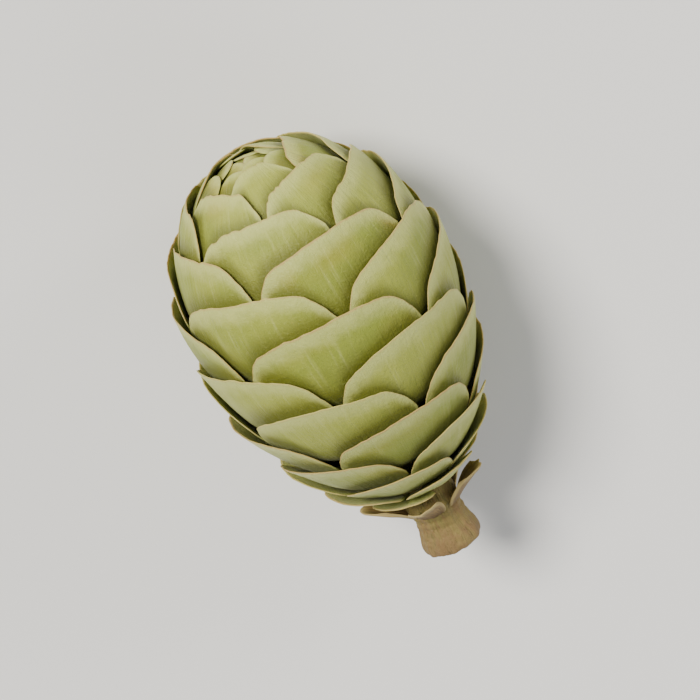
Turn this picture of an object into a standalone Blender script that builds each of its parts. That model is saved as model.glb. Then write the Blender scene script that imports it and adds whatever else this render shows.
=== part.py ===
"""A closed, unripe cedar cone, as picked, lying on its side.

The cone is an axis (a short stalk that runs on as a slender core) with separate scales set round it on
one spiral, each a golden angle on from the last. A scale starts as a narrow foot at the core, climbs
steeply, and turns into a broad thin blade that lies like a shingle under the egg-shaped outline, with
its rounded free margin towards the tip. The smallest scales close the tip as one bud, and a few papery
bud scales stand round the stalk.

The cone is worked out along +X, stalk to tip, in millimetres. Any place in it is given by three numbers:
a station, which is an angle along the outline from 0 at the base to pi at the tip; a turn round the
axis; and a depth below the outline, measured along a line that leans back to the axis. Blades keep to
different depths at each station, so no two scales meet.
"""

import math
import random

import bmesh
import bpy
from mathutils import Matrix, Vector

MM = 0.001

# The outline of the closed cone
BODY_LENGTH = 17.6
BODY_RADIUS = 5.85
FULLNESS_TO_TIP = 0.13  # how much of the width is moved from the base half to the tip half
BASE_ROOT = 2.0  # where the depth line of the base station meets the axis
TIP_ROOT = 13.6  # where the depth line of the tip station meets the axis

# The spiral of scales
SCALE_COUNT = 52
GOLDEN_ANGLE = math.pi * (3 - math.sqrt(5))
FIRST_STATION = math.radians(32)
LAST_STATION = math.radians(173.5)
STATION_STEP = (LAST_STATION - FIRST_STATION) / (SCALE_COUNT - 1)

# One scale
HALF_WIDTH = math.radians(42)  # just under half the turn between a scale and the second one after it
FOOT_WIDTH_SHARE = 0.45
FULL_WIDTH_AT = 0.7  # share of the length, from the foot, at which the blade is full width
MARGIN_DROP = 0.22  # how far the free margin of the widest scale falls back at its sides, in radians
LEAST_DROP_SHARE = 0.5  # of that, on the narrowest
MARGIN_ROUNDNESS = 0.97
MIDDLE_THICKNESS = 0.22
EDGE_THICKNESS = 0.12
BLADE_SLOPE = 1.5  # depth gained for each radian of station along the blade
BLADE_LENGTH = 0.36  # radians of station from the free margin to where the foot turns inwards
FOOT_BEND = 21.0  # how sharply the foot turns inwards
FOOT_THICKENING = 10.0
SIDE_LEAN = 0.07  # one side of a blade lies this much deeper than its middle, the other this much higher
MOST_LIFT = 0.14  # how far the middle of a free margin may stand up from the outline
LIP_LENGTH = 0.14  # the part of the blade that lifts, in radians of station
LIFT_SEED = 59
SEGMENTS_ACROSS = 6
SEGMENTS_ALONG = 5
REACH_STEP = 0.002  # how finely the foot is followed back to the core, in radians of station
SHARP_ANGLE = math.radians(50)

# The axis
CORE_RADIUS_AT_BASE = 1.05
CORE_RADIUS_AT_TIP = 0.6
CORE_END = 11.2
CORE_END_TAPER = 0.4
CORE_END_SHARE = 0.6  # of the core's radius, at its very end
STALK_LENGTH = 2.6
STALK_OUTLINE = ((0, 1.1), (0.2, 1.3), (0.7, 1.22), (1.3, 1.05))  # from the broken end, and out
GAP = 0.08
ROUND_SEGMENTS = 16

# The closed tip
BUD_LEAD = 0.27  # how far the bud lies inside the last scale, in radians of station
BUD_FOOT_RADIUS = 0.7
BUD_RINGS = 7
BUD_STEP = 0.02  # how finely its outline is followed, in radians of station
BUD_CLEARANCE = 0.3  # between its foot and the end of the core

# The papery bud scales round the stalk
BUD_SCALE_COUNT = 5
BUD_SCALE_HALF_WIDTH = math.radians(27)
BUD_SCALE_THICKNESS = 0.16
BUD_SCALE_ROOT = Vector((-0.6, 1.14))  # along the axis, and out from it
BUD_SCALE_MIDDLE = Vector((0.0, 1.7))
BUD_SCALE_TIP = Vector((0.8, 2.9))
BUD_SCALE_OUTWARDS = Vector((-0.75, 0.66))  # from its inner to its outer face
BUD_SCALE_TURN = math.radians(20)
BUD_SCALE_ROUNDING = 0.35  # how much shorter it is at its sides
BUD_SCALE_TAPER = 0.45  # how much narrower it is at its tip
BUD_SCALE_SEGMENTS_ACROSS = 4
BUD_SCALE_SEGMENTS_ALONG = 3

# How the cone lies, on the raised margins of three scales
REST_ROLL = math.radians(66.23)
REST_PITCH = math.radians(-5.76)


def outline(station):
    """The place along the axis and the radius of the outline at a station."""
    along = BODY_LENGTH / 2 * (1 - math.cos(station))
    radius = BODY_RADIUS * math.sin(station) * (1 - FULLNESS_TO_TIP * math.cos(station))
    return Vector((along, radius))


def place(station, turn, depth):
    """The point at a station, a turn and a depth below the outline."""
    root = Vector((BASE_ROOT + (TIP_ROOT - BASE_ROOT) * station / math.pi, 0))
    line = outline(station) - root
    along, radius = root + line * (1 - depth / line.length)
    return Vector((along, radius * math.cos(turn), radius * math.sin(turn)))


def core_radius(along):
    share = min(max(along / CORE_END, 0), 1)
    return CORE_RADIUS_AT_BASE + (CORE_RADIUS_AT_TIP - CORE_RADIUS_AT_BASE) * share


def blade_depth(back):
    """How deep a scale's outer face lies, this far back from its free margin."""
    past_blade = max(back - BLADE_LENGTH, 0)
    return BLADE_SLOPE * back + FOOT_BEND * past_blade**2


def thickness(across, back):
    """Along the depth line. The steep foot needs more to stay as stout as the blade."""
    past_blade = max(back - BLADE_LENGTH, 0)
    share = EDGE_THICKNESS + (MIDDLE_THICKNESS - EDGE_THICKNESS) * (1 - across**2)
    return share * (1 + FOOT_THICKENING * past_blade)


def reach_to_core(station):
    """How far back the foot of the scale whose tip is at this station meets the core."""
    back = 0
    while True:
        back += REACH_STEP
        inner = place(station - back, 0, blade_depth(back) + thickness(0, back))
        if inner.y < core_radius(inner.x) + GAP:
            return back


def slab(segments_across, segments_along):
    """A flat closed slab: across from -1 to 1, along from -1 to 1, and 0 or 1 for its two faces."""
    flat = bmesh.new()
    bmesh.ops.create_grid(flat, x_segments=segments_across, y_segments=segments_along, size=1)
    made = bmesh.ops.extrude_face_region(flat, geom=flat.faces[:])
    raised = [item for item in made["geom"] if isinstance(item, bmesh.types.BMVert)]
    bmesh.ops.translate(flat, verts=raised, vec=(0, 0, 1))
    bmesh.ops.recalc_face_normals(flat, faces=flat.faces[:])
    # Bending the slab onto the cone, with its second face inwards, turns it inside out.
    bmesh.ops.reverse_faces(flat, faces=flat.faces[:])
    return flat


def finished(shape, name, material):
    """Turns the shape, in millimetres, into a named object in metres."""
    bmesh.ops.scale(shape, vec=(MM, MM, MM), verts=shape.verts[:])
    mesh = bpy.data.meshes.new(name)
    shape.to_mesh(mesh)
    shape.free()
    mesh.shade_smooth()
    mesh.set_sharp_from_angle(angle=SHARP_ANGLE)
    mesh.materials.append(material)
    piece = bpy.data.objects.new(name, mesh)
    bpy.context.scene.collection.objects.link(piece)
    return piece


def scale(number, lift, material):
    station = FIRST_STATION + STATION_STEP * number
    turn = GOLDEN_ANGLE * number
    margin_drop = MARGIN_DROP * max(outline(station).y / BODY_RADIUS, LEAST_DROP_SHARE)
    length = reach_to_core(station)
    shape = slab(SEGMENTS_ACROSS, SEGMENTS_ALONG)
    for vertex in shape.verts:
        across = vertex.co.x
        along = (vertex.co.y + 1) / 2
        inner = vertex.co.z
        spread = math.sin(min(along / FULL_WIDTH_AT, 1) * math.pi / 2)
        width = HALF_WIDTH * (FOOT_WIDTH_SHARE + (1 - FOOT_WIDTH_SHARE) * spread)
        drop = margin_drop * (1 - math.sqrt(1 - (MARGIN_ROUNDNESS * across) ** 2))
        back = (1 - along) * length + along * min(drop, length / 2)
        depth = blade_depth(back) - SIDE_LEAN * across * along
        depth += inner * thickness(across, back) - lift * max(1 - back / LIP_LENGTH, 0) ** 2
        vertex.co = place(station - back, turn + across * width, depth)
    return finished(shape, f"scale_{number + 1:02d}", material)


def turned(profile, name, material):
    """A solid turned round the axis from (along, radius) points whose ends lie on the axis."""
    shape = bmesh.new()
    points = [shape.verts.new((along, radius, 0)) for along, radius in profile]
    edges = [shape.edges.new(pair) for pair in zip(points, points[1:])]
    bmesh.ops.spin(
        shape,
        geom=points + edges,
        cent=(0, 0, 0),
        axis=(1, 0, 0),
        angle=2 * math.pi,
        steps=ROUND_SEGMENTS,
        use_merge=True,
    )
    bmesh.ops.remove_doubles(shape, verts=shape.verts[:], dist=0.001)
    bmesh.ops.recalc_face_normals(shape, faces=shape.faces[:])
    return finished(shape, name, material)


def axis(material):
    """The stalk, a little swollen where it broke off its shoot, and the core that carries the scales."""
    stalk = [(-STALK_LENGTH, 0)]
    stalk += [(-STALK_LENGTH + along, radius) for along, radius in STALK_OUTLINE]
    core = [
        (0, core_radius(0)),
        (CORE_END - CORE_END_TAPER, core_radius(CORE_END - CORE_END_TAPER)),
        (CORE_END, core_radius(CORE_END) * CORE_END_SHARE),
        (CORE_END, 0),
    ]
    return turned(stalk + core, "cone_axis", material)


def tip_bud(material):
    """The tiny last scales, too small and too tightly closed to part, as one rounded bud."""
    station = LAST_STATION + BUD_LEAD
    back = station - math.pi
    profile = [(place(math.pi, 0, blade_depth(back)).x, 0)]
    while True:
        back += BUD_STEP
        point = place(station - back, 0, blade_depth(back))
        at_foot = back > BLADE_LENGTH and point.y < BUD_FOOT_RADIUS
        if at_foot or point.x < CORE_END + BUD_CLEARANCE:
            break
        profile.append((point.x, point.y))
    step = (len(profile) - 1) / BUD_RINGS
    chosen = [profile[round(step * ring)] for ring in range(BUD_RINGS + 1)]
    chosen.append((chosen[-1][0], 0))
    return turned(chosen, "tip_bud", material)


def bud_scale(number, material):
    """A small pointed papery scale that leaves the stalk and bends out under the cone."""
    turn = BUD_SCALE_TURN + 2 * math.pi * number / BUD_SCALE_COUNT
    shape = slab(BUD_SCALE_SEGMENTS_ACROSS, BUD_SCALE_SEGMENTS_ALONG)
    for vertex in shape.verts:
        across = vertex.co.x
        along = (vertex.co.y + 1) / 2
        inner = vertex.co.z
        reach = along * (1 - BUD_SCALE_ROUNDING * across**2)
        middle = BUD_SCALE_ROOT.lerp(BUD_SCALE_MIDDLE, reach)
        bent = middle.lerp(BUD_SCALE_MIDDLE.lerp(BUD_SCALE_TIP, reach), reach)
        width = BUD_SCALE_HALF_WIDTH * (1 - BUD_SCALE_TAPER * along**2)
        on_axis, radius = bent + BUD_SCALE_OUTWARDS * BUD_SCALE_THICKNESS * (1 - inner)
        angle = turn + across * width
        vertex.co = (on_axis, radius * math.cos(angle), radius * math.sin(angle))
    return finished(shape, f"bud_scale_{number + 1}", material)


def make_material(name, colour, roughness):
    material = bpy.data.materials.new(name)
    material.use_nodes = True
    shader = material.node_tree.nodes["Principled BSDF"]
    shader.inputs["Base Color"].default_value = (*colour, 1)
    shader.inputs["Roughness"].default_value = roughness
    shader.inputs["Metallic"].default_value = 0
    return material


def lay_down(pieces):
    """Turns the cone onto the scales it rests on, with the middle of its box's underside at the origin."""
    frame = bpy.data.objects.new("cone_frame", None)
    bpy.context.scene.collection.objects.link(frame)
    turned_over = Matrix.Rotation(REST_PITCH, 4, "Y") @ Matrix.Rotation(REST_ROLL, 4, "X")
    corners = [turned_over @ vertex.co for piece in pieces for vertex in piece.data.vertices]
    low = Vector([min(corner[i] for corner in corners) for i in range(3)])
    high = Vector([max(corner[i] for corner in corners) for i in range(3)])
    middle = (low + high) / 2
    middle.z = low.z
    frame.matrix_world = Matrix.Translation(-middle) @ turned_over
    for piece in pieces:
        piece.parent = frame


def main():
    for leftover in list(bpy.data.objects):
        bpy.data.objects.remove(leftover)
    green = make_material("cone_scale_green", (0.42, 0.44, 0.14), 0.55)
    young = make_material("tip_bud_green", (0.50, 0.50, 0.20), 0.55)
    woody = make_material("stalk_bark", (0.20, 0.14, 0.07), 0.8)
    papery = make_material("papery_brown", (0.36, 0.22, 0.10), 0.75)
    pieces = [axis(woody), tip_bud(young)]
    pieces += [bud_scale(number, papery) for number in range(BUD_SCALE_COUNT)]
    draw = random.Random(LIFT_SEED)
    pieces += [scale(number, draw.uniform(0, MOST_LIFT), green) for number in range(SCALE_COUNT)]
    lay_down(pieces)


main()
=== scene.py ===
"""The looks of a closed, unripe cedar cone that lies on its side.

Geometry Nodes build every scale, every papery bud scale and the tiny scales of the tip. A scale follows the
same rule as its plain solid: a station along the outline of the cone, a turn round its axis, and a depth
below the outline. The cone is worked out along +X, stalk to tip, in millimetres, and then laid down where
the frame holds it.
"""

import math
import random

import bmesh
import bpy
from mathutils import Matrix, Vector, noise


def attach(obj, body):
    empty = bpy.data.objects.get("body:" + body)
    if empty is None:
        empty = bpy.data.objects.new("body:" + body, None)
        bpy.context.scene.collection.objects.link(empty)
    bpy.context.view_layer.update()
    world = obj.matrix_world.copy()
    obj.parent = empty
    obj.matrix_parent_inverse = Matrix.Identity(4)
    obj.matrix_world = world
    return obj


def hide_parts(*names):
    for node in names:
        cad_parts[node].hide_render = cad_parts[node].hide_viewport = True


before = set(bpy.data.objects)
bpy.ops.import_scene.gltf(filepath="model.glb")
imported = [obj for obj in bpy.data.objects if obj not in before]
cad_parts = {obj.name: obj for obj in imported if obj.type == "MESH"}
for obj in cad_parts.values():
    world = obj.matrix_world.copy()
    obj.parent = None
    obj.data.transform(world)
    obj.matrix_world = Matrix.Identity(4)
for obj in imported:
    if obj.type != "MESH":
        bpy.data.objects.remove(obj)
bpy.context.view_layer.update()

MM = 0.001
# Points nearer to each other than this are one point, in millimetres
SEAM = 0.0005

# The outline of the closed cone
BODY_LENGTH = 17.6
BODY_RADIUS = 5.85
FULLNESS_TO_TIP = 0.13
BASE_ROOT = 2.0
TIP_ROOT = 13.6

# The spiral of scales
SCALE_COUNT = 52
GOLDEN_ANGLE = math.pi * (3 - math.sqrt(5))
FIRST_STATION = math.radians(32)
LAST_STATION = math.radians(173.5)
STATION_STEP = (LAST_STATION - FIRST_STATION) / (SCALE_COUNT - 1)
MOST_LIFT = 0.14
LIFT_SEED = 59
TONE_SEED = 11
SEED_STEP = 17.3
MARGIN_DROP = 0.22
LEAST_DROP_SHARE = 0.5
BLADE_SLOPE = 1.5
BLADE_LENGTH = 0.36
FOOT_BEND = 21.0
MIDDLE_THICKNESS = 0.22
FOOT_THICKENING = 10.0
REACH_STEP = 0.002
# Millimetres of outline for each radian of station
PER_RADIAN = 7.4
# A scale goes in under the scales that come this many places before it on the spiral, and shade is painted
# under their margins
COVERING_NEIGHBOURS = (3, 5, 8)
# Added to a scale's own seed, so that one noise doesn't repeat another
RUFFLE_SEED = 3
RIB_SEED = 7

# What every scale has, as inputs of its tree
SCALE_SIZES = {
    # millimetres: the cone's outline, then a scale's thickness and the heights and reach of its relief
    "Body Length": BODY_LENGTH,
    "Body Radius": BODY_RADIUS,
    "Base Root": BASE_ROOT,
    "Tip Root": TIP_ROOT,
    "Middle Thickness": MIDDLE_THICKNESS,
    "Edge Thickness": 0.12,
    "Edge Rounding": 0.07,
    "Thin Margin Length": 1.4,
    "Side Lean": 0.07,
    "Relief Start": 0.6,
    "Relief End": 4.2,
    "Keel": 0.06,
    "Keel Rise": 0.9,
    "Rib": 0.036,
    "Swell": 0.07,
    "Ruffle": 0.035,
    "Ruffle Length": 1.0,
    # radians of turn or of station
    "Half Width": math.radians(42),
    "Corner Drop": 0.11,
    "Margin Wave": 0.02,
    "Margin Tooth": 0.015,
    "Least Wear": -0.01,
    "Blade Length": BLADE_LENGTH,
    "Lip Length": 0.14,
    # shares
    "Fullness To Tip": FULLNESS_TO_TIP,
    "Foot Width Share": 0.45,
    "Full Width At": 0.7,
    "Margin Roundness": 0.97,
    "Corner Start": 0.7,
    "Margin Thinness": 0.6,
    # how steeply it goes in, and how it bends and thickens past its blade, for each radian back
    "Blade Slope": BLADE_SLOPE,
    "Foot Bend": FOOT_BEND,
    "Foot Thickening": FOOT_THICKENING,
    # how finely its margin and its relief are worked
    "Waves Across": 2.2,
    "Teeth To A Wave": 9.0,
    "Ruffles Across": 2.6,
    "Keel Sharpness": 2.2,
    "Ribs Across": 13.0,
    "Rib Changes Along": 0.25,
    "Swells Along": 3.2,
    "Swell Fineness": 1.3,
}
SCALE_GRID = {"Points Across": 45, "Points Along": 45}

# The axis
CORE_RADIUS_AT_BASE = 1.05
CORE_RADIUS_AT_TIP = 0.6
CORE_END = 11.2
STALK_LENGTH = 2.6
STALK_RADIUS = 1.05
BREAK_RADIUS = 1.3
GAP = 0.08
# The stalk swells where it broke off and where the cone begins
BREAK_SWELLING_AT = 0.3 - STALK_LENGTH
BREAK_SWELLING_LENGTH = 0.65
CONE_SWELLING = 0.08
CONE_SWELLING_AT = -0.2
CONE_SWELLING_LENGTH = 0.4
# Bark ridges: their height, how finely they stand round the stalk and change along it, and their seed
BROAD_RIDGES = (0.09, 3.2, 0.45, 0)
FINE_RIDGES = (0.045, 9.0, 1.3, 8)
# Scars that ring the stalk, where they are, and how they waver
RING_HEIGHT = 0.025
RINGS_ALONG = 15
RINGS_AT = -0.9
RINGS_LENGTH = 0.7
RING_WOBBLE = 2
RING_WOBBLE_FINENESS = 1.5
# The break
BREAK_EDGE_SHARE = 0.86
BREAK_BEVEL = 0.08
BREAK_HOLLOW = 0.12
SPLINTER_HEIGHT = 0.1
COARSE_SPLINTERS = 7
FINE_SPLINTERS = 17
# How finely the axis is turned
AXIS_TURN_STEPS = 96
BREAK_RINGS = 8
STALK_RINGS = 52
CORE_RINGS = 14
BARK_END = 0.5

# The closed tip
BUD_LEAD = 0.27
BUD_FOOT_RADIUS = 0.7
DOME_FILLING = 0.14
DOME_FILLING_LENGTH = 0.45
DOME_CLEAR_OF_CORE = 0.5
DOME_STEP = 0.03
DOME_TURN_STEPS = 40
# These give the dome the scales' colours, with part of their painted shade
DOME_LOOKS = {"across": 0.2, "behind": 1.4, "shade_clearance": 0.5, "tone": 0.4}
TIP_SCALE_SIZES = {
    # millimetres
    "First From Pole": 1.15,
    "Pole Step": 0.13,
    "Tip Scale Height": BODY_LENGTH,
    "Tip Scale Length": 1.8,
    "Tip Scale Half Width": 0.86,
    "Tip Scale Thickness": 0.13,
    "Sink": 0.02,
    "Sink Step": 0.012,
    "Relief": 0.02,
    # shares of its length
    "Full Width By": 0.5,
    "Margin Rounding": 0.07,
    "Foot Rounding": 0.05,
    # how it slopes and bends down for each millimetre, and how fine and varied it is
    "Tip Scale Slope": 0.23,
    "Tip Scale Bend": 0.05,
    "Tip Curvature": 0.1,
    "Relief Across": 4.0,
    "Relief Seed Step": 5.0,
    "Tone Step": 0.07,
}
TIP_SCALE_COUNTS = {"Tip Scales": 10, "Points Across": 17, "Points Along": 15}
# How a tiny scale wears the colours of a large one: fewer streaks, sooner from rim to base, and sooner in
# the painted shade of the scales that cover it
TIP_STREAKS = 0.4
TIP_COLOUR_RUN = 1.6
TIP_CLEAR = 1.3

# The papery bud scales round the stalk
BUD_SCALE_COUNT = 5
BUD_SCALE_TURN = math.radians(20)
BUD_SCALE_SIZES = {
    # millimetres: its bent middle line, as places along and out from the axis, then its heights
    "Root Along": -0.6,
    "Root Out": 1.14,
    "Middle Along": 0.0,
    "Middle Out": 1.7,
    "Tip Along": 0.8,
    "Tip Out": 2.9,
    "Thickness": 0.1,
    "Curl": 0.22,
    "Midrib": 0.05,
    "Fibre": 0.05,
    "Crumple": 0.16,
    # radians of turn
    "Half Width": math.radians(30),
    # shares of its width, its length or its lift
    "Narrowing": 0.4,
    "Tip Roundness": 0.97,
    "Tip Bow": 0.4,
    "Torn Edge": 0.16,
    "Side Rounding": 0.12,
    "Tip Rounding": 0.06,
    "Root Rounding": 0.05,
    "Lift Outwards": 0.66,
    "Lift Backwards": 0.75,
    # how finely it is worked
    "Midrib Narrowness": 3.0,
    "Tears Across": 2.5,
    "Fibres Across": 9.0,
    "Fibre Changes Along": 1.2,
    "Crumples Across": 1.6,
    "Crumples Along": 2.0,
}
BUD_SCALE_COUNTS = {"Points Across": 25, "Points Along": 25}
BUD_SCALE_FIRST_SEED = 1
BUD_SCALE_SEED_STEP = 6.1
CRUMPLE_SEED = 4

# How the cone lies
REST_ROLL = math.radians(66.23)
REST_PITCH = math.radians(-5.76)
# The flat end of the stalk is the points this near to its lowest one, in millimetres
STALK_END_DEPTH = 0.05


# Node trees ------------------------------------------------------------------------------------------


class Field:
    """A value that a node tree works out at every point. The arithmetic signs add Math nodes."""

    def __init__(self, tree, socket):
        self.tree = tree
        self.socket = socket

    def __add__(self, other):
        return calculate(self.tree, "ADD", self, other)

    def __radd__(self, other):
        return calculate(self.tree, "ADD", other, self)

    def __sub__(self, other):
        return calculate(self.tree, "SUBTRACT", self, other)

    def __rsub__(self, other):
        return calculate(self.tree, "SUBTRACT", other, self)

    def __mul__(self, other):
        return calculate(self.tree, "MULTIPLY", self, other)

    def __rmul__(self, other):
        return calculate(self.tree, "MULTIPLY", other, self)

    def __truediv__(self, other):
        return calculate(self.tree, "DIVIDE", self, other)

    def __abs__(self):
        return calculate(self.tree, "ABSOLUTE", self)

    def squared(self):
        return calculate(self.tree, "MULTIPLY", self, self)

    def root(self):
        return calculate(self.tree, "SQRT", self)

    def sine(self):
        return calculate(self.tree, "SINE", self)

    def cosine(self):
        return calculate(self.tree, "COSINE", self)

    def at_least(self, floor):
        return calculate(self.tree, "MAXIMUM", self, floor)

    def at_most(self, ceiling):
        return calculate(self.tree, "MINIMUM", self, ceiling)

    def step(self, start, end):
        """0 before start, 1 after end, and smooth between."""
        return remap(self, start, end, 0, 1)


def plug(tree, value, socket):
    if isinstance(value, Field):
        tree.links.new(value.socket, socket)
    else:
        socket.default_value = value


def calculate(tree, operation, *values):
    node = tree.nodes.new("ShaderNodeMath")
    node.operation = operation
    for value, socket in zip(values, node.inputs):
        plug(tree, value, socket)
    return Field(tree, node.outputs[0])


def remap(value, start, end, low, high):
    """Turns start..end smoothly into low..high, and holds it outside."""
    node = value.tree.nodes.new("ShaderNodeMapRange")
    node.interpolation_type = "SMOOTHSTEP"
    for given, socket in zip((value, start, end, low, high), node.inputs):
        plug(value.tree, given, socket)
    return Field(value.tree, node.outputs[0])


def vector(tree, x, y, z):
    node = tree.nodes.new("ShaderNodeCombineXYZ")
    for value, socket in zip((x, y, z), node.inputs):
        plug(tree, value, socket)
    return Field(tree, node.outputs[0])


def parts_of(place):
    node = place.tree.nodes.new("ShaderNodeSeparateXYZ")
    plug(place.tree, place, node.inputs[0])
    return [Field(place.tree, output) for output in node.outputs]


def clouds(place, fineness=1.0, detail=2.0, roughness=0.5):
    """Soft noise round 0, from about -0.5 to 0.5. Doubled, it reaches 1 either way."""
    node = place.tree.nodes.new("ShaderNodeTexNoise")
    plug(place.tree, place, node.inputs["Vector"])
    plug(place.tree, fineness, node.inputs["Scale"])
    node.inputs["Detail"].default_value = detail
    node.inputs["Roughness"].default_value = roughness
    return Field(place.tree, node.outputs[0]) - 0.5


def cut_corners(mesh):
    """Takes off the points of a slab's corners, where its two faces would lie on each other."""
    shape = bmesh.new()
    shape.from_mesh(mesh)
    for point in [vertex for vertex in shape.verts if len(vertex.link_edges) == 2]:
        bmesh.utils.vert_collapse_edge(point, point.link_edges[0])
    shape.to_mesh(mesh)
    shape.free()


class Builder:
    """A Geometry Nodes tree whose inputs are sizes with names."""

    def __init__(self, name, sizes, counts):
        self.tree = bpy.data.node_groups.new(name, "GeometryNodeTree")
        self.sockets = {}
        for title, value in sizes.items():
            self._input(title, "NodeSocketFloat", value)
        for title, value in counts.items():
            self._input(title, "NodeSocketInt", value)
        self._input("Material", "NodeSocketMaterial", None)
        self.tree.interface.new_socket("Mesh", in_out="OUTPUT", socket_type="NodeSocketGeometry")
        self.given = self.tree.nodes.new("NodeGroupInput")

    def _input(self, title, kind, value):
        socket = self.tree.interface.new_socket(title, in_out="INPUT", socket_type=kind)
        if value is not None:
            socket.default_value = value
        self.sockets[title] = socket.identifier

    def size(self, title):
        return Field(self.tree, self.given.outputs[title])

    def node(self, kind, **inputs):
        """Adds a node, plugs the inputs in by name, and returns its first output."""
        made = self.tree.nodes.new(kind)
        for title, value in inputs.items():
            plug(self.tree, value, made.inputs[title.replace("_", " ")])
        return Field(self.tree, made.outputs[0])

    def position(self):
        return Field(self.tree, self.tree.nodes.new("GeometryNodeInputPosition").outputs[0])

    def named(self, title):
        node = self.tree.nodes.new("GeometryNodeInputNamedAttribute")
        node.inputs["Name"].default_value = title
        return Field(self.tree, node.outputs[0])

    def slab(self):
        """A closed slab, still flat: x from -1 to 1, y from 0 to 1, and z 0 or 1 for its two faces."""
        flat = self.node(
            "GeometryNodeMeshGrid",
            Size_X=2,
            Size_Y=1,
            Vertices_X=self.size("Points Across"),
            Vertices_Y=self.size("Points Along"),
        )
        outer = self.node("GeometryNodeTransform", Geometry=flat, Translation=(0, 0.5, 0))
        inner = self.node("GeometryNodeTransform", Geometry=flat, Translation=(0, 0.5, 1))
        inner = self.node("GeometryNodeFlipFaces", Mesh=inner)
        both = self.tree.nodes.new("GeometryNodeJoinGeometry")
        self.tree.links.new(inner.socket, both.inputs[0])
        self.tree.links.new(outer.socket, both.inputs[0])
        return Field(self.tree, both.outputs[0])

    def slab_place(self):
        """Across from -1 to 1, along from 0 to 1, both crowded towards the slab's rims, and which face."""
        across, along, inner = parts_of(self.position())
        quarter = math.pi / 2
        return (across * quarter).sine(), (along * quarter).sine(), inner

    def store(self, geometry, title, value):
        node = self.tree.nodes.new("GeometryNodeStoreNamedAttribute")
        plug(self.tree, geometry, node.inputs["Geometry"])
        node.inputs["Name"].default_value = title
        plug(self.tree, value, node.inputs["Value"])
        return Field(self.tree, node.outputs[0])

    def finish(self, geometry):
        """Closes the rims, smooths the shading and sets the material."""
        merged = self.node("GeometryNodeMergeByDistance", Geometry=geometry, Distance=SEAM)
        smooth = self.node("GeometryNodeSetShadeSmooth", Geometry=merged)
        real = self.node("GeometryNodeRealizeInstances", Geometry=smooth)
        dressed = self.node("GeometryNodeSetMaterial", Geometry=real, Material=self.size("Material"))
        output = self.tree.nodes.new("NodeGroupOutput")
        self.tree.links.new(dressed.socket, output.inputs[0])

    def build(self, name, values):
        """Runs the tree with these values and returns the plain mesh, as an object in the row frame."""
        piece = bpy.data.objects.new(name, bpy.data.meshes.new(name))
        bpy.context.scene.collection.objects.link(piece)
        modifier = piece.modifiers.new("build", "NODES")
        modifier.node_group = self.tree
        for title, value in values.items():
            modifier[self.sockets[title]] = value
        evaluated = piece.evaluated_get(bpy.context.evaluated_depsgraph_get())
        mesh = bpy.data.meshes.new_from_object(evaluated)
        piece.modifiers.remove(modifier)
        cut_corners(mesh)
        piece.data = mesh
        mesh.name = name
        mesh.transform(LAID_DOWN)
        return piece


# Where things are on the cone ------------------------------------------------------------------------


def outline(station):
    """The place along the axis and the radius of the outline at a station."""
    along = BODY_LENGTH / 2 * (1 - math.cos(station))
    radius = BODY_RADIUS * math.sin(station) * (1 - FULLNESS_TO_TIP * math.cos(station))
    return Vector((along, radius))


def place(station, depth):
    """The place along the axis and the radius at a station and a depth below the outline."""
    root = Vector((BASE_ROOT + (TIP_ROOT - BASE_ROOT) * station / math.pi, 0))
    line = outline(station) - root
    return root + line * (1 - depth / line.length)


def core_radius(along):
    share = min(max(along / CORE_END, 0), 1)
    return CORE_RADIUS_AT_BASE + (CORE_RADIUS_AT_TIP - CORE_RADIUS_AT_BASE) * share


def reach_to_core(station):
    """How far back the foot of the scale whose tip is at this station meets the core."""
    back = 0
    while True:
        back += REACH_STEP
        past_blade = max(back - BLADE_LENGTH, 0)
        depth = BLADE_SLOPE * back + FOOT_BEND * past_blade**2
        depth += MIDDLE_THICKNESS * (1 + FOOT_THICKENING * past_blade)
        inner = place(station - back, depth)
        if inner.y < core_radius(inner.x) + GAP:
            return back


def laid_down():
    """The matrix that takes the cone from its own frame, in millimetres, to where its solids lie.

    The flat end of the stalk is found on the frame's own axis piece, as the middle of its lowest ring."""
    turned = Matrix.Rotation(REST_PITCH, 4, "Y") @ Matrix.Rotation(REST_ROLL, 4, "X")
    along = turned @ Vector((1, 0, 0))
    corners = {tuple(round(c / MM, 4) for c in v.co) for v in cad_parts["cone_axis"].data.vertices}
    corners = [Vector(corner) for corner in corners]
    end = min(corner.dot(along) for corner in corners)
    cap = [corner for corner in corners if corner.dot(along) < end + STALK_END_DEPTH]
    stalk_end = sum(cap, Vector()) / len(cap)
    shift = stalk_end + along * STALK_LENGTH
    return Matrix.Scale(MM, 4) @ Matrix.Translation(shift) @ turned


LAID_DOWN = laid_down()


# The scales ------------------------------------------------------------------------------------------


def on_cone(build, station, turn, depth):
    """The point at a station, a turn and a depth below the outline."""
    cosine = station.cosine()
    along = build.size("Body Length") / 2 * (1 - cosine)
    radius = build.size("Body Radius") * station.sine() * (1 - build.size("Fullness To Tip") * cosine)
    root = build.size("Base Root") + (build.size("Tip Root") - build.size("Base Root")) * station / math.pi
    run = along - root
    length = (run.squared() + radius.squared()).root()
    left = 1 - depth / length
    radius = radius * left
    return vector(build.tree, root + run * left, radius * turn.cosine(), radius * turn.sine())


def margin_drop(build, across):
    """How far the margin falls back from its foremost point, this far across a scale."""
    bow = 1 - (1 - (across * build.size("Margin Roundness")).squared()).at_least(0).root()
    corner = ((abs(across) - build.size("Corner Start")) / (1 - build.size("Corner Start"))).at_least(0)
    return build.size("Margin Drop") * bow + build.size("Corner Drop") * corner.squared()


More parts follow.
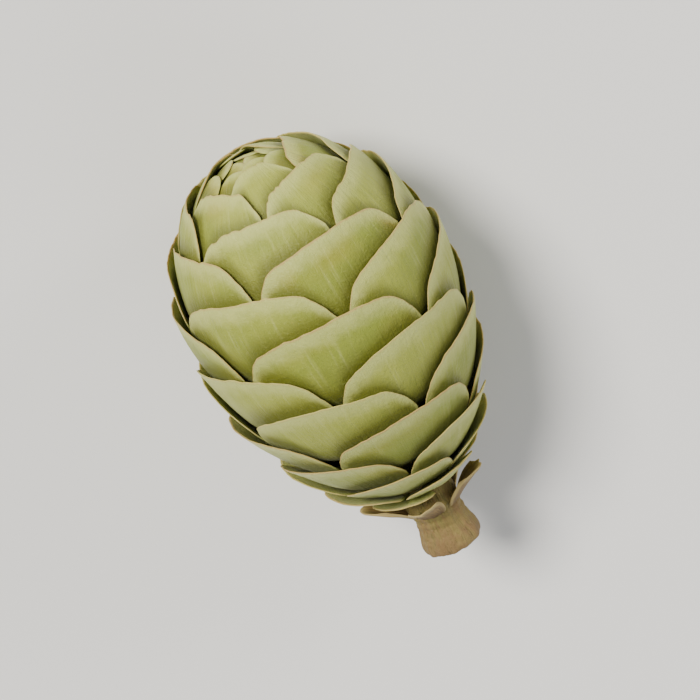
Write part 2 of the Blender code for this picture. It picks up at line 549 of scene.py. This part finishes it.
def clear_of_neighbours(build, here, turn, girth):
    """How many millimetres lie between a point of a scale and the nearest margin that covers it: where this
    is small, shade is painted.
    """
    nearest = None
    for earlier in COVERING_NEIGHBOURS:
        away = math.remainder(GOLDEN_ANGLE * earlier, 2 * math.pi)
        across = (turn - build.size("Turn") + away) / build.size("Half Width")
        margin = build.size("Station") - STATION_STEP * earlier
        margin -= margin_drop(build, across.at_least(-1).at_most(1))
        beyond = ((here - margin) * PER_RADIAN).at_least(0)
        beyond += (abs(across) - 1).at_least(0) * build.size("Half Width") * girth
        beyond += (earlier - build.size("Number")).at_least(0) * BODY_RADIUS
        nearest = nearest.at_most(beyond) if nearest else beyond
    return nearest


def scale_builder():
    """One scale: a narrow foot at the core and a broad thin blade with a rounded, finely worn margin."""
    one_scale = {"Station": 1.5, "Turn": 0.0, "Reach": 0.6, "Margin Drop": 0.3, "Lift": 0.1}
    one_scale |= {"Seed": 0.0, "Tone": 0.5, "Number": 0.0}
    build = Builder("cone_scale", {**SCALE_SIZES, **one_scale}, SCALE_GRID)
    size = build.size
    slab = build.slab()
    across, along, inner = build.slab_place()

    # how wide it is here, and how far back from the foremost point of its margin
    spread = ((along / size("Full Width At")).at_most(1) * (math.pi / 2)).sine()
    foot = size("Foot Width Share")
    width = size("Half Width") * (foot + (1 - foot) * spread)

    rim = vector(build.tree, across * size("Waves Across"), size("Seed"), 0)
    waves = clouds(rim, detail=0) * size("Margin Wave") * 2
    teeth = clouds(rim, size("Teeth To A Wave"), detail=1) * size("Margin Tooth") * 2
    drop = margin_drop(build, across) + (waves + teeth).at_least(size("Least Wear"))
    drop = drop.at_least(0).at_most(size("Reach") / 2)
    back = (1 - along) * size("Reach") + along * drop
    past_blade = (back - size("Blade Length")).at_least(0)

    # how thick it is here, and how round its rims are
    thickness = size("Edge Thickness")
    thickness += (size("Middle Thickness") - size("Edge Thickness")) * (1 - across.squared())
    thickness *= 1 + size("Foot Thickening") * past_blade
    to_margin = (1 - along) * size("Reach") * PER_RADIAN
    thickness *= 1 - size("Margin Thinness") * to_margin.step(size("Thin Margin Length"), 0.0)
    here = size("Station") - back
    girth = size("Body Radius") * here.sine() * (1 - size("Fullness To Tip") * here.cosine())
    to_side = (1 - abs(across)) * width * girth
    to_foot = along * size("Reach") * PER_RADIAN
    to_rim = to_side.at_most(to_margin).at_most(to_foot) / size("Edge Rounding")
    to_rim = to_rim.at_most(1).at_least(0)
    fullness = (to_rim * (2 - to_rim)).root()

    # its relief: a keel, ribs on the outer face only, broad swells and a ruffled margin
    exposed = to_margin.step(size("Relief End"), size("Relief Start"))
    keel = (1 - (across * size("Keel Sharpness")).squared()).at_least(0).squared()
    keel = keel * to_margin.step(0.0, size("Keel Rise")) * exposed
    grain_along = to_margin * size("Rib Changes Along")
    grain = vector(build.tree, across * size("Ribs Across"), grain_along, size("Seed") + RIB_SEED)
    ribs = clouds(grain, detail=2, roughness=0.6) * (1 - inner) * exposed * fullness
    turn = size("Turn") + across * width
    swell_at = vector(build.tree, here * size("Swells Along"), turn.cosine(), turn.sine())
    swell = clouds(swell_at, size("Swell Fineness"), detail=1)
    ruffle_at = vector(build.tree, across * size("Ruffles Across"), size("Seed") + RUFFLE_SEED, 0)
    ruffle = clouds(ruffle_at, detail=1) * to_margin.step(size("Ruffle Length"), 0.0)

    depth = size("Blade Slope") * back + size("Foot Bend") * past_blade.squared()
    depth -= size("Side Lean") * across * along
    depth += inner * thickness + (1 - fullness) * thickness * (0.5 - inner)
    depth -= size("Lift") * (1 - back / size("Lip Length")).at_least(0).squared()
    depth -= size("Keel") * keel + size("Rib") * ribs + size("Swell") * swell + size("Ruffle") * ruffle * 2

    shaped = build.store(slab, "across", across)
    shaped = build.store(shaped, "behind", to_margin)
    # millimetres from the covering margins, by which the skin paints shade
    shaped = build.store(shaped, "shade_clearance", clear_of_neighbours(build, here, turn, girth))
    shaped = build.store(shaped, "tone", size("Tone"))
    shaped = build.node(
        "GeometryNodeSetPosition", Geometry=shaped, Position=on_cone(build, here, turn, depth)
    )
    build.finish(shaped)
    return build


def scales(material):
    build = scale_builder()
    lift_draw = random.Random(LIFT_SEED)
    tone_draw = random.Random(TONE_SEED)
    for number in range(SCALE_COUNT):
        station = FIRST_STATION + STATION_STEP * number
        girth = outline(station).y / BODY_RADIUS
        values = {
            "Station": station,
            "Turn": GOLDEN_ANGLE * number,
            "Reach": reach_to_core(station),
            "Margin Drop": MARGIN_DROP * max(girth, LEAST_DROP_SHARE),
            "Lift": lift_draw.uniform(0, MOST_LIFT),
            "Seed": number * SEED_STEP,
            "Tone": tone_draw.random(),
            "Number": float(number),
            "Material": material,
        }
        piece = build.build(f"scale_{number + 1:02d}_skin", values)
        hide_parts(f"scale_{number + 1:02d}")
        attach(piece, "root")


# The closed tip --------------------------------------------------------------------------------------


def tip_scale_builder():
    """The tiny last scales: thin round-tipped petals that go on round the spiral and close over the pole."""
    sizes = {**TIP_SCALE_SIZES, "First Turn": 0.0, "Tone": 0.5}
    build = Builder("tip_scales", sizes, TIP_SCALE_COUNTS)
    size = build.size
    points = build.node("GeometryNodeMeshLine", Count=size("Tip Scales"), Offset=(0, 0, 0))
    number = Field(build.tree, build.tree.nodes.new("GeometryNodeInputIndex").outputs[0])
    points = build.store(points, "number", number)
    petals = build.node("GeometryNodeInstanceOnPoints", Points=points, Instance=build.slab())
    petals = build.node("GeometryNodeRealizeInstances", Geometry=petals)
    number = build.named("number")
    across, along, inner = build.slab_place()
    back = 1 - along

    tip_from_pole = size("First From Pole") - number * size("Pole Step")
    run = back * size("Tip Scale Length")
    from_pole = tip_from_pole + run
    opened = (back / size("Full Width By")).at_most(1)
    width = (1 - (1 - opened).squared()).root() * size("Tip Scale Half Width")
    rim = (1 - across.squared()).at_least(0).root() * (back / size("Margin Rounding")).at_most(1)
    rim = rim * ((1 - back) / size("Foot Rounding")).at_most(1)
    turn = size("First Turn") + number * GOLDEN_ANGLE
    sideways = across * width
    out = from_pole * turn.cosine() - sideways * turn.sine()
    over = from_pole * turn.sine() + sideways * turn.cosine()

    depth = run * (size("Tip Scale Slope") + run * size("Tip Scale Bend"))
    depth = depth + size("Sink") + number * size("Sink Step")
    depth += size("Tip Scale Thickness") * (0.5 + (inner - 0.5) * rim)
    relief_at = vector(
        build.tree, across * size("Relief Across"), number * size("Relief Seed Step"), back
    )
    depth -= size("Relief") * clouds(relief_at, detail=1) * (1 - inner) * rim
    height = size("Tip Scale Height") - size("Tip Curvature") * (out.squared() + over.squared()) - depth
    behind = run * TIP_COLOUR_RUN
    shaped = build.store(petals, "across", across * TIP_STREAKS)
    shaped = build.store(shaped, "behind", behind)
    # how far the petal lies from the scales that cover it, for its painted shade
    shaped = build.store(shaped, "shade_clearance", (TIP_CLEAR - behind).at_least(0))
    shaped = build.store(shaped, "tone", size("Tone") + number * size("Tone Step"))
    position = vector(build.tree, height, out, over)
    build.finish(build.node("GeometryNodeSetPosition", Geometry=shaped, Position=position))
    return build


def turned_skin(name, profile, steps, material):
    """A closed skin turned round the axis from (along, radius) points whose ends lie on the axis."""
    shape = bmesh.new()
    points = [shape.verts.new((along, radius, 0)) for along, radius in profile]
    edges = [shape.edges.new(pair) for pair in zip(points, points[1:])]
    bmesh.ops.spin(
        shape,
        geom=points + edges,
        cent=(0, 0, 0),
        axis=(1, 0, 0),
        angle=2 * math.pi,
        steps=steps,
        use_merge=True,
    )
    bmesh.ops.remove_doubles(shape, verts=shape.verts[:], dist=SEAM)
    bmesh.ops.recalc_face_normals(shape, faces=shape.faces[:])
    mesh = bpy.data.meshes.new(name)
    shape.to_mesh(mesh)
    shape.free()
    mesh.shade_smooth()
    mesh.materials.append(material)
    piece = bpy.data.objects.new(name, mesh)
    bpy.context.scene.collection.objects.link(piece)
    return piece


def bud_dome(material):
    """The rounded ground under the tiny scales."""
    station = LAST_STATION + BUD_LEAD
    back = station - math.pi
    profile = [(place(math.pi, BLADE_SLOPE * back).x, 0)]
    while profile[-1][0] > CORE_END + DOME_CLEAR_OF_CORE:
        back += DOME_STEP
        past_blade = max(back - BLADE_LENGTH, 0)
        under_scales = min((back - station + math.pi) / DOME_FILLING_LENGTH, 1)
        filling = DOME_FILLING * math.sin(math.pi * under_scales)
        point = place(station - back, BLADE_SLOPE * back + FOOT_BEND * past_blade**2 - filling)
        if past_blade and point.y < BUD_FOOT_RADIUS:
            break
        profile.append((point.x, point.y))
    profile.append((profile[-1][0], 0))
    piece = turned_skin("tip_bud_dome", profile, DOME_TURN_STEPS, material)
    for title, value in DOME_LOOKS.items():
        layer = piece.data.attributes.new(title, "FLOAT", "POINT")
        layer.data.foreach_set("value", [value] * len(piece.data.vertices))
    piece.data.transform(LAID_DOWN)
    return piece


def joined(name, pieces):
    with bpy.context.temp_override(active_object=pieces[0], selected_editable_objects=pieces):
        bpy.ops.object.join()
    pieces[0].name = name
    pieces[0].data.name = name
    return pieces[0]


def tip_bud(material):
    build = tip_scale_builder()
    values = {"First Turn": GOLDEN_ANGLE * SCALE_COUNT, "Tone": 0.5, "Material": material}
    piece = joined("tip_bud_skin", [build.build("tip_scales", values), bud_dome(material)])
    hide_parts("tip_bud")
    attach(piece, "root")


# The stalk and the bud scales ------------------------------------------------------------------------


def swelling(along, middle, length):
    """A smooth hump along the axis: 1 at its middle, and nearly gone two lengths away."""
    return math.exp(-(((along - middle) / length) ** 2))


def stalk_radius(along):
    """A short stout stalk, swollen where it broke off its shoot and where the cone begins."""
    at_break = (BREAK_RADIUS - STALK_RADIUS) * swelling(along, BREAK_SWELLING_AT, BREAK_SWELLING_LENGTH)
    at_cone = CONE_SWELLING * swelling(along, CONE_SWELLING_AT, CONE_SWELLING_LENGTH)
    return STALK_RADIUS + at_break + at_cone


def ridges(kind, round_it, along):
    """How far bark ridges of one kind stand out here."""
    height, fineness, change_along, seed = kind
    return height * noise.noise(round_it * fineness + Vector((0, 0, along * change_along + seed)))


def stalk_relief(along, turn):
    """How far bark ridges and ringed scars stand out of the stalk."""
    round_it = Vector((math.cos(turn), math.sin(turn), 0))
    wobble = RING_WOBBLE * noise.noise(round_it * RING_WOBBLE_FINENESS)
    rings = math.sin(along * RINGS_ALONG + wobble) * swelling(along, RINGS_AT, RINGS_LENGTH)
    return ridges(BROAD_RIDGES, round_it, along) + ridges(FINE_RIDGES, round_it, along) + RING_HEIGHT * rings


def break_relief(y, z):
    """How far the torn wood of the break stands out: splinters, in a hollow towards the pith."""
    # the third numbers only keep the two noises apart
    coarse = noise.noise(Vector((y * COARSE_SPLINTERS, z * COARSE_SPLINTERS, 3)))
    fine = noise.noise(Vector((y * FINE_SPLINTERS, z * FINE_SPLINTERS, 5)))
    hollow = BREAK_HOLLOW * (1 - math.hypot(y, z) / BREAK_RADIUS)
    return SPLINTER_HEIGHT * (coarse + 0.5 * fine) - hollow


def axis_profile():
    """The break from its middle to its rim, the stalk, and the core inside the cone."""
    edge = stalk_radius(-STALK_LENGTH) * BREAK_EDGE_SHARE
    profile = [(-STALK_LENGTH, edge * ring / BREAK_RINGS) for ring in range(BREAK_RINGS + 1)]
    for ring in range(STALK_RINGS + 1):
        along = -STALK_LENGTH + BREAK_BEVEL + (STALK_LENGTH - BREAK_BEVEL) * ring / STALK_RINGS
        profile.append((along, stalk_radius(along)))
    for ring in range(1, CORE_RINGS + 1):
        along = CORE_END * ring / CORE_RINGS
        profile.append((along, core_radius(along)))
    profile.append((CORE_END, 0))
    return profile


def cone_axis(material):
    piece = turned_skin("cone_axis_skin", axis_profile(), AXIS_TURN_STEPS, material)
    on_break = piece.data.attributes.new("on_break", "FLOAT", "POINT")
    unturned = piece.data.attributes.new("unturned", "FLOAT_VECTOR", "POINT")
    for vertex in piece.data.vertices:
        along, y, z = vertex.co
        unturned.data[vertex.index].vector = vertex.co
        if along < BREAK_BEVEL / 2 - STALK_LENGTH:
            vertex.co.x -= break_relief(y, z)
            on_break.data[vertex.index].value = 1
        elif along < BARK_END:
            swollen = 1 + stalk_relief(along, math.atan2(z, y)) / math.hypot(y, z)
            vertex.co.y *= swollen
            vertex.co.z *= swollen
    piece.data.transform(LAID_DOWN)
    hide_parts("cone_axis")
    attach(piece, "root")


def bud_scale_builder():
    """A dry papery scale that leaves the stalk and bends out under the cone, with a torn curled rim."""
    build = Builder("bud_scale", {**BUD_SCALE_SIZES, "Turn": 0.0, "Seed": 0.0}, BUD_SCALE_COUNTS)
    size = build.size
    slab = build.slab()
    across, along, inner = build.slab_place()

    # how far along its bent middle line it is here, with a bowed and torn end
    torn_at = vector(build.tree, across * size("Tears Across"), size("Seed"), 0)
    torn = clouds(torn_at, detail=3, roughness=0.7) * size("Torn Edge") * 2
    bow = 1 - (1 - (across * size("Tip Roundness")).squared()).root()
    reach = along * (1 - size("Tip Bow") * bow + torn)
    rest = 1 - reach
    start, bend, end = rest.squared(), 2 * rest * reach, reach.squared()
    on_axis = start * size("Root Along") + bend * size("Middle Along") + end * size("Tip Along")
    out = start * size("Root Out") + bend * size("Middle Out") + end * size("Tip Out")
    width = size("Half Width") * (1 - size("Narrowing") * along.squared())

    # its thickness, rounded off at the rims, and its relief
    rim = ((1 - abs(across)) / size("Side Rounding")).at_most(1)
    rim = rim.at_most((1 - along) / size("Tip Rounding")).at_most(along / size("Root Rounding"))
    rim = (rim.at_least(0) * (2 - rim)).at_least(0).root()
    lift = size("Midrib") * (1 - abs(across) * size("Midrib Narrowness")).at_least(0)
    lift -= size("Curl") * across.squared() * along
    fibre_at = vector(
        build.tree, across * size("Fibres Across"), along * size("Fibre Changes Along"), size("Seed")
    )
    fibres = clouds(fibre_at, detail=2) * size("Fibre")
    crumple_at = vector(
        build.tree,
        across * size("Crumples Across"),
        along * size("Crumples Along"),
        size("Seed") + CRUMPLE_SEED,
    )
    crumple = clouds(crumple_at, detail=1) * size("Crumple") * along
    lift += fibres + crumple - size("Thickness") * (inner - 0.5) * rim
    lift -= size("Thickness") * 0.5
    turn = size("Turn") + across * width
    radius = out + lift * size("Lift Outwards")
    shaped = build.store(slab, "across", across)
    shaped = build.store(shaped, "reach", along)
    on_axis -= lift * size("Lift Backwards")
    position = vector(build.tree, on_axis, radius * turn.cosine(), radius * turn.sine())
    build.finish(build.node("GeometryNodeSetPosition", Geometry=shaped, Position=position))
    return build


def bud_scales(material):
    build = bud_scale_builder()
    for number in range(BUD_SCALE_COUNT):
        turn = BUD_SCALE_TURN + 2 * math.pi * number / BUD_SCALE_COUNT
        seed = number * BUD_SCALE_SEED_STEP + BUD_SCALE_FIRST_SEED
        values = {"Turn": turn, "Seed": seed, "Material": material}
        piece = build.build(f"bud_scale_{number + 1}_skin", values)
        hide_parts(f"bud_scale_{number + 1}")
        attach(piece, "root")


# Materials -------------------------------------------------------------------------------------------


def new_material(name):
    material = bpy.data.materials.new(name)
    material.use_nodes = True
    return material.node_tree, material.node_tree.nodes["Principled BSDF"], material


def attribute(tree, title):
    node = tree.nodes.new("ShaderNodeAttribute")
    node.attribute_name = title
    return Field(tree, node.outputs["Fac"])


def unturned_place(tree):
    """The place on the stalk in the cone's own frame, where the axis is X, in millimetres."""
    node = tree.nodes.new("ShaderNodeAttribute")
    node.attribute_name = "unturned"
    return Field(tree, node.outputs["Vector"])


def object_place(tree):
    """The place on the object, in millimetres."""
    node = tree.nodes.new("ShaderNodeTexCoord")
    mapping = tree.nodes.new("ShaderNodeMapping")
    tree.links.new(node.outputs["Object"], mapping.inputs["Vector"])
    mapping.inputs["Scale"].default_value = (1 / MM,) * 3
    return Field(tree, mapping.outputs[0])


def blended(tree, share, first, second):
    node = tree.nodes.new("ShaderNodeMix")
    node.data_type = "RGBA"
    plug(tree, share, node.inputs[0])
    for value, socket in zip((first, second), node.inputs[6:8]):
        plug(tree, value if isinstance(value, Field) else (*value, 1), socket)
    return Field(tree, node.outputs[2])


def layered(tree, colour, layers):
    """Lays colours over a first one. Each layer is how much of it shows here, and its colour."""
    for share, over in layers:
        colour = blended(tree, share, colour, over)
    return colour


def bumped(tree, height, distance):
    node = tree.nodes.new("ShaderNodeBump")
    node.inputs["Distance"].default_value = distance
    plug(tree, height, node.inputs["Height"])
    return Field(tree, node.outputs[0])


# Colours of the scales, as linear red, green and blue
STRAW = (0.49, 0.51, 0.155)
PALE_GREEN = (0.315, 0.34, 0.048)
LEAF_GREEN = (0.215, 0.255, 0.024)
# painted shade: olive laid where a scale goes in under others, in place of the shade that falls there
SHADE_OLIVE = (0.085, 0.09, 0.006)
OCHRE = (0.40, 0.27, 0.03)
DRY_RIM = (0.42, 0.29, 0.09)


def scale_skin():
    """Pale yellow-green, a straw rim, fine streaks that run out to it, and painted shade in olive where it
    goes in under other scales.
    """
    tree, shader, material = new_material("cone_scale_skin")
    spot = object_place(tree)
    across = attribute(tree, "across")
    behind = attribute(tree, "behind")
    tone = attribute(tree, "tone")
    # a scale's tone also keeps its streaks unlike its neighbours'
    streak_at = vector(tree, across * 17 + tone * 40, behind * 0.3, tone * 90)
    streaks = clouds(streak_at, detail=4, roughness=0.65)
    mottling = clouds(spot, 0.55)
    speckle = clouds(spot, 7.0)
    blush = clouds(spot, 0.4, detail=1) + tone * 0.3
    flecks = clouds(spot, 3.4, detail=3, roughness=0.6)
    # millimetres from the scale's own margin and from those that cover it, each with a wavering edge; both
    # place the painted shade below
    edge = behind + clouds(spot, 2.2) * 0.5
    shade_clearance = attribute(tree, "shade_clearance") + clouds(spot, 1.1) * 0.45

    layers = (
        # darker and lighter green, from scale to scale and over each scale
        ((mottling * 1.6 + tone * 0.7 + 0.1).step(0, 1), LEAF_GREEN),
        (streaks.step(0.0, 0.28) * 0.6, LEAF_GREEN),
        (streaks.step(-0.02, -0.3) * 0.5, STRAW),
        # painted shade in olive, towards the base and where neighbours' margins cover it, standing in for
        # the shade under them
        (edge.step(0.9, 2.8) * 0.5, SHADE_OLIVE),
        (shade_clearance.step(0.95, 0.0) * 0.75, SHADE_OLIVE),
        # an ochre blush, then the straw margin over it
        (blush.step(0.18, 0.5) * edge.step(1.6, 0.1) * 0.5, OCHRE),
        (edge.step(0.95, 0.1) * 0.8, STRAW),
        # fine specks and a few flecks
        (speckle.step(0.1, 0.4) * 0.3, STRAW),
        (flecks.step(0.2, 0.3) * (0.2 + tone * 0.35), OCHRE),
        # the thin dry rim
        ((behind + streaks * 0.15).step(0.13, 0.01) * (0.5 + tone * 0.5), DRY_RIM),
    )
    colour = layered(tree, PALE_GREEN, layers)
    plug(tree, colour, shader.inputs["Base Color"])

    plug(tree, 0.56 + streaks * 0.16 + speckle * 0.14, shader.inputs["Roughness"])
    shader.inputs["Specular IOR Level"].default_value = 0.35
    fine = streaks * 0.7 + speckle * 0.35 + clouds(spot, 16.0) * 0.25
    plug(tree, bumped(tree, fine, 0.09 * MM), shader.inputs["Normal"])
    shader.inputs["Subsurface Weight"].default_value = 0.1
    shader.inputs["Subsurface Radius"].default_value = (1.0, 0.9, 0.35)
    shader.inputs["Subsurface Scale"].default_value = 0.35 * MM
    shader.inputs["Sheen Weight"].default_value = 0.12
    shader.inputs["Sheen Roughness"].default_value = 0.4
    shader.inputs["Sheen Tint"].default_value = (0.92, 0.95, 0.6, 1)
    return material


# Colours of the stalk and the papery scales
BARK = (0.20, 0.12, 0.04)
GREEN_BARK = (0.24, 0.20, 0.045)
DARK_BARK = (0.05, 0.03, 0.012)
BROKEN_WOOD = (0.48, 0.36, 0.17)
PAPER = (0.34, 0.22, 0.065)
DARK_PAPER = (0.10, 0.055, 0.018)
PALE_PAPER = (0.50, 0.39, 0.15)


def stalk_bark():
    """Brown ridged bark, greener towards the cone, and paler torn wood where the stalk broke off."""
    tree, shader, material = new_material("stalk_bark")
    spot = object_place(tree)
    broad = clouds(spot, 0.8, detail=3)
    fine = clouds(spot, 5.0, detail=3, roughness=0.65)
    along, y, z = parts_of(unturned_place(tree))
    # fibres are drawn out along the axis, and pores across it
    fibres = clouds(vector(tree, along * 0.9, y * 6, z * 6), detail=4, roughness=0.62)
    pores = clouds(vector(tree, along * 7, y * 4, z * 4), detail=1)
    greener = (broad + fibres + 0.5 + along * 0.1).step(0.1, 0.8)
    bark = layered(tree, BARK, (
        (greener, GREEN_BARK),
        (fibres.step(0.04, 0.3) * 0.8, DARK_BARK),
        (pores.step(0.22, 0.32) * 0.6, BROKEN_WOOD),
    ))

    # the break: splinters, year rings and a dark pith
    on_break = attribute(tree, "on_break")
    from_pith = (y.squared() + z.squared()).root()
    splinters = clouds(vector(tree, along, y * 9, z * 9), detail=4, roughness=0.7)
    year_rings = ((from_pith + fine * 0.2) * 16).sine().step(0.2, 1.0)
    wood = layered(tree, BROKEN_WOOD, (
        ((splinters * 1.8 + 0.4).step(0, 1), BARK),
        (year_rings * 0.3, BARK),
        ((from_pith + splinters * 0.25).step(0.3, 0.1) * 0.75, DARK_BARK),
    ))
    colour = blended(tree, on_break, bark, wood)
    plug(tree, colour, shader.inputs["Base Color"])
    plug(tree, 0.72 + fine * 0.2, shader.inputs["Roughness"])
    relief = fine * 0.4 - fibres * 1.5 + broad * 0.6 + on_break * splinters * 1.4
    plug(tree, bumped(tree, relief, 0.14 * MM), shader.inputs["Normal"])
    return material


def papery_brown():
    """Dry brown paper: fibres along it, darker at the root and pale at the worn rim."""
    tree, shader, material = new_material("papery_brown")
    spot = object_place(tree)
    across = attribute(tree, "across")
    reach = attribute(tree, "reach")
    fibres = clouds(vector(tree, across * 12, reach * 1.4, 0), detail=3, roughness=0.6)
    blotches = clouds(spot, 1.6)
    rim = (abs(across).step(0.7, 1.0) + reach.step(0.8, 1.0)).at_most(1)
    colour = layered(tree, DARK_PAPER, (
        ((fibres * 1.6 + 0.5).step(0.1, 0.9), PAPER),
        ((reach + blotches * 0.5).step(0.75, 0.1) * 0.6, DARK_PAPER),
        (rim * 0.65, PALE_PAPER),
    ))
    plug(tree, colour, shader.inputs["Base Color"])
    plug(tree, 0.68 + fibres * 0.2, shader.inputs["Roughness"])
    plug(tree, bumped(tree, fibres + blotches * 0.4, 0.04 * MM), shader.inputs["Normal"])
    return material


# Floor, lights and camera ----------------------------------------------------------------------------

# Angles in degrees, lengths in metres, the lens in millimetres
LOOKED_AT = Vector((0.0, 0.0, 5.2)) * MM
CAMERA_AZIMUTH = 66
CAMERA_ELEVATION = 66
CAMERA_ROLL = 178
CAMERA_DISTANCE = 0.16
LENS = 200
NEAREST_SEEN = 0.01
FARTHEST_SEEN = 10

FLOOR_SIZE = 4
FLOOR_SHADE = (0.74, 0.73, 0.70)
FLOOR_PALE = (0.78, 0.77, 0.745)
# The backdrop is bright round the horizon and dimmer above
BACKDROP = (0.95, 0.965, 1.0)
HORIZON_BRIGHTNESS = 1.0
TOP_BRIGHTNESS = 0.33
HORIZON_HEIGHT = 0.4


def direction(azimuth, elevation):
    """From the cone towards a place round it. Azimuth 0 is in front, on the side of -Y."""
    turn = math.radians(azimuth)
    height = math.sin(math.radians(elevation))
    flat = math.cos(math.radians(elevation))
    return Vector((math.sin(turn) * flat, -math.cos(turn) * flat, height))


def floor():
    tree, shader, material = new_material("pale_floor")
    shade = clouds(object_place(tree), 0.02, detail=3)
    plug(tree, blended(tree, shade + 0.5, FLOOR_SHADE, FLOOR_PALE), shader.inputs["Base Color"])
    shader.inputs["Roughness"].default_value = 0.9
    bpy.ops.mesh.primitive_plane_add(size=FLOOR_SIZE)
    ground = bpy.context.object
    ground.name = "floor"
    ground.data.materials.append(material)


def lamp(name, kind, azimuth, elevation, power, colour):
    """A light, still at the origin, that is turned to shine from this side of the cone."""
    data = bpy.data.lights.new(name, kind)
    data.energy = power
    data.color = colour
    light = bpy.data.objects.new(name, data)
    bpy.context.scene.collection.objects.link(light)
    light.rotation_mode = "QUATERNION"
    light.rotation_quaternion = direction(azimuth, elevation).to_track_quat("Z", "Y")
    return light


def sun(name, azimuth, elevation, spread, power, colour):
    light = lamp(name, "SUN", azimuth, elevation, power, colour)
    light.data.angle = math.radians(spread)


def softbox(name, azimuth, elevation, distance, size, power, colour):
    light = lamp(name, "AREA", azimuth, elevation, power, colour)
    light.data.shape = "DISK"
    light.data.size = size
    light.location = LOOKED_AT + direction(azimuth, elevation) * distance


def lights():
    sun("key_light", azimuth=112, elevation=50, spread=22, power=5.2, colour=(1.0, 0.97, 0.92))
    softbox(
        "fill_softbox",
        azimuth=290,
        elevation=40,
        distance=0.4,
        size=0.3,
        power=0.35,
        colour=(0.93, 0.97, 1.0),
    )
    softbox("rim_softbox", azimuth=20, elevation=25, distance=0.35, size=0.1, power=0.3, colour=(1, 1, 1))


def backdrop():
    world = bpy.data.worlds.new("studio")
    world.use_nodes = True
    tree = world.node_tree
    shader = tree.nodes["Background"]
    shader.inputs["Color"].default_value = (*BACKDROP, 1)
    sky = Field(tree, tree.nodes.new("ShaderNodeTexCoord").outputs["Generated"])
    height = parts_of(sky)[2]
    brightness = remap(height, 0.0, HORIZON_HEIGHT, HORIZON_BRIGHTNESS, TOP_BRIGHTNESS)
    plug(tree, brightness, shader.inputs["Strength"])
    bpy.context.scene.world = world


def camera():
    data = bpy.data.cameras.new("camera")
    data.lens = LENS
    data.clip_start = NEAREST_SEEN
    data.clip_end = FARTHEST_SEEN
    viewer = bpy.data.objects.new("camera", data)
    bpy.context.scene.collection.objects.link(viewer)
    away = direction(CAMERA_AZIMUTH, CAMERA_ELEVATION)
    turned = away.to_track_quat("Z", "Y").to_matrix().to_4x4()
    turned = turned @ Matrix.Rotation(math.radians(CAMERA_ROLL), 4, "Z")
    viewer.matrix_world = Matrix.Translation(LOOKED_AT + away * CAMERA_DISTANCE) @ turned
    bpy.context.scene.camera = viewer


def main():
    camera()
    floor()
    lights()
    backdrop()
    green = scale_skin()
    cone_axis(stalk_bark())
    tip_bud(green)
    bud_scales(papery_brown())
    scales(green)


main()
